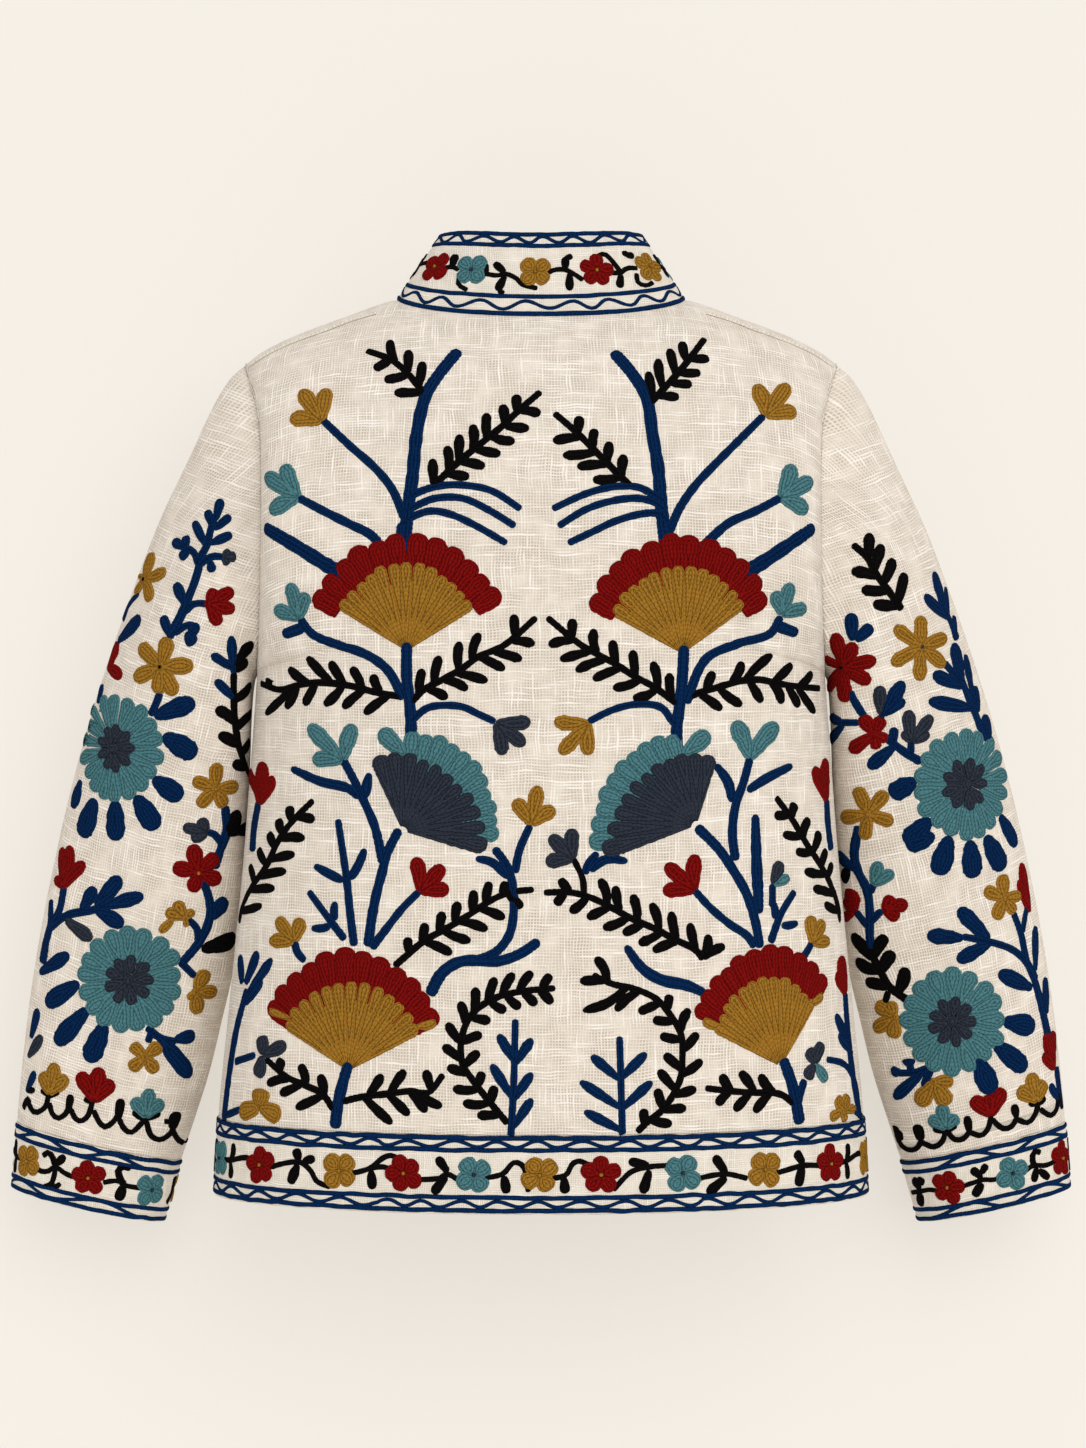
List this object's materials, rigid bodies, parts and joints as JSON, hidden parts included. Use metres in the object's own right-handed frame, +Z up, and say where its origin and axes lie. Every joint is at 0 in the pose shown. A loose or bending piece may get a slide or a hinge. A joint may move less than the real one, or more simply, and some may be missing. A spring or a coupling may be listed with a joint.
{
  "type": "linen jacket",
  "caption": "Hollow, filled-out hip-length jacket with stand collar, set-in sleeves, open front and embroidered flowers, ferns and bands.",
  "frame": {"origin": "middle of the neck opening, on the line between the two points where the shoulder seams meet the collar", "axes": "+X is the wearer's right, +Y is the wearer's forward, +Z is up"},
  "size_m": [0.757, 0.2381, 0.6981],
  "materials": {
    "linen": "open slubby plain weave, matt",
    "band_linen": "smooth doubled linen band, matt",
    "blue_wool": "thick wool chain stitch",
    "black_wool": "thick wool chain stitch",
    "red_wool": "thick wool chain stitch",
    "gold_wool": "thick wool chain stitch",
    "teal_wool": "thick wool chain stitch",
    "slate_wool": "thick wool chain stitch"
  },
  "bodies": {
    "root": {"back": "linen", "front_right": "linen", "front_left": "linen", "sleeve_right": "linen", "sleeve_left": "linen", "hem_band": "band_linen", "cuff_right": "band_linen", "cuff_left": "band_linen", "collar": "band_linen"}
  },
  "joints": []
}
